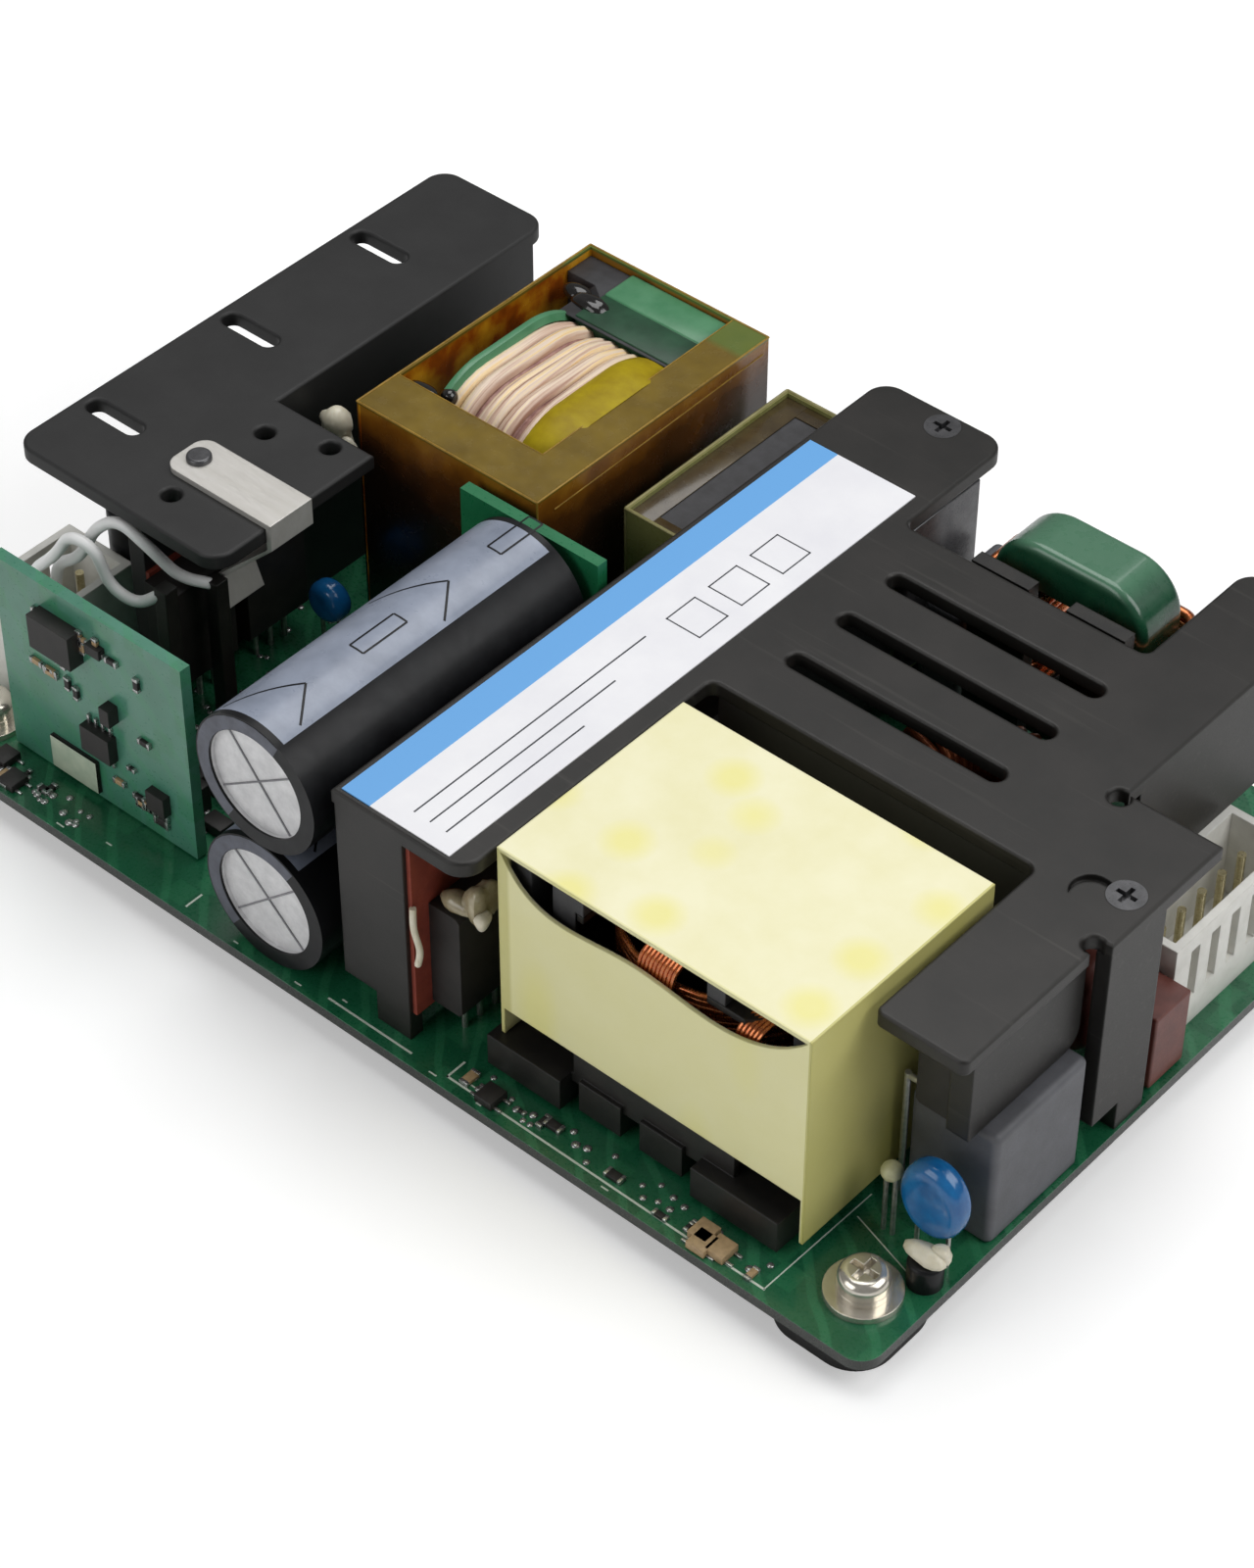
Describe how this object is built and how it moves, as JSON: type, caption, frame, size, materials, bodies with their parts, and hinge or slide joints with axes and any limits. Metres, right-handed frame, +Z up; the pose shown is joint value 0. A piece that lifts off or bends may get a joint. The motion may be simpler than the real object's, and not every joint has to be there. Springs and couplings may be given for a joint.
{
  "type": "open frame power supply",
  "caption": "Open frame switching power supply: a green board on a black base plate, with two bent heatsink plates, a taped transformer, wound chokes, capacitors and connectors.",
  "frame": {"origin": "middle of the base plate's underside, under the middle of the board", "axes": "+X along the board's long side, from the output connector to the mains inlet; +Y along its short side, away from the edge with the taped transformer; +Z up through the heatsinks"},
  "size_m": [0.1524, 0.1016, 0.0422],
  "materials": {
    "black_anodised_aluminium": "satin black anodised",
    "board_laminate": "green solder mask",
    "insulating_film": "matt black sheet",
    "nickel_steel": "nickel plated",
    "black_steel": "black oxide",
    "spring_steel": "satin",
    "tinned_copper": "tinned",
    "label_paper": "satin label",
    "moulded_epoxy": "moulded black",
    "thermal_pad": "brick red pad",
    "ferrite": "dark grey ferrite",
    "black_plastic": "moulded black",
    "copper_winding": "enamelled copper",
    "litz_winding": "silk covered strand",
    "polyester_tape": "pale yellow tape",
    "amber_film": "amber film",
    "olive_film": "olive film",
    "green_core": "green coated core",
    "capacitor_can": "bare can",
    "capacitor_sleeve": "glossy black sleeve",
    "rubber_bung": "matt rubber",
    "grey_case": "moulded grey",
    "blue_epoxy": "dipped blue",
    "cream_bead": "dipped cream",
    "brown_case": "moulded brown",
    "white_nylon": "moulded white",
    "white_insulation": "white sleeve",
    "brass_contact": "plated"
  },
  "bodies": {
    "root": {"base_plate": "black_anodised_aluminium", "corner_spacers": "black_plastic", "insulating_sheet": "insulating_film", "main_board": "board_laminate", "flat_washers": "nickel_steel", "spring_washers": "nickel_steel", "corner_screws": "nickel_steel", "main_heatsink": "black_anodised_aluminium", "spreader_bar": "black_anodised_aluminium", "heatsink_pillars": "black_steel", "output_heatsink": "black_anodised_aluminium", "output_spring_clip": "spring_steel", "heatsink_screws": "black_steel", "rating_label": "label_paper", "main_power_devices": "moulded_epoxy", "output_devices": "moulded_epoxy", "bridge_rectifier": "moulded_epoxy", "device_leads": "tinned_copper", "thermal_pads": "thermal_pad", "transformer_core": "ferrite", "transformer_winding": "copper_winding", "transformer_bobbin": "black_plastic", "transformer_pins": "tinned_copper", "transformer_tape": "polyester_tape", "boost_choke_core": "ferrite", "boost_choke_bobbin": "black_plastic", "boost_choke_winding": "litz_winding", "boost_choke_film": "amber_film", "resonant_choke_core": "ferrite", "resonant_choke_bobbin": "black_plastic", "resonant_choke_winding": "litz_winding", "resonant_choke_film": "olive_film", "choke_bases": "black_plastic", "choke_pins": "tinned_copper", "filter_choke_core": "green_core", "filter_choke_windings": "copper_winding", "filter_choke_bobbins": "black_plastic", "ring_choke_core": "green_core", "ring_choke_windings": "copper_winding", "reservoir_capacitors": "capacitor_can", "capacitor_sleeves": "capacitor_sleeve", "capacitor_bungs": "rubber_bung", "capacitor_leads": "tinned_copper", "capacitor_board": "board_laminate", "output_capacitors": "capacitor_sleeve", "control_board": "board_laminate", "header_pins": "tinned_copper", "control_chips": "moulded_epoxy", "box_capacitors": "grey_case", "disc_capacitors": "blue_epoxy", "thermistor": "cream_bead", "varistor": "brown_case", "corner_capacitor": "capacitor_sleeve", "boxed_fuse": "brown_case", "small_part_leads": "tinned_copper", "inlet_connector": "white_nylon", "output_connector": "white_nylon", "connector_contacts": "brass_contact", "output_wires": "white_insulation", "wire_posts": "black_plastic"}
  },
  "joints": []
}
